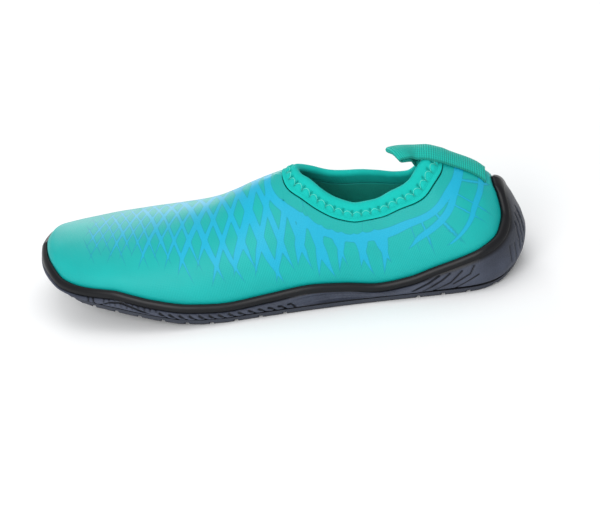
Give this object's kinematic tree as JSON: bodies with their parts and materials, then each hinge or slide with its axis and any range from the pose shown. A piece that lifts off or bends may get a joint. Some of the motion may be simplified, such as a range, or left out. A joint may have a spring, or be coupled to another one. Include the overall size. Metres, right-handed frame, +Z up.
{
  "type": "water shoe",
  "caption": "Left slip-on water shoe with a stretch upper, padded collar, heel pull tab and a rubber cup sole with a raised heel cup and toe bumper.",
  "frame": {"origin": "centre of the heel's flat tread, on the floor", "axes": "+Z up, the toe towards -X, the heel towards +X, the outer (lateral) side towards -Y and the inner side towards +Y"},
  "size_m": [0.2672, 0.0928, 0.0729],
  "materials": {
    "stretch_fabric": "matte teal knit with a cyan printed lattice",
    "collar_binding": "bright teal padded knit",
    "webbing": "woven webbing",
    "insole_foam": "pale mint cloth on foam",
    "sole_rubber": "charcoal, pebbled, with a smooth rim",
    "tread_rubber": "black, satin"
  },
  "bodies": {
    "root": {"upper": "stretch_fabric", "collar": "collar_binding", "pull_tab": "webbing", "insole": "insole_foam", "midsole": "sole_rubber", "outsole": "tread_rubber"}
  },
  "joints": []
}
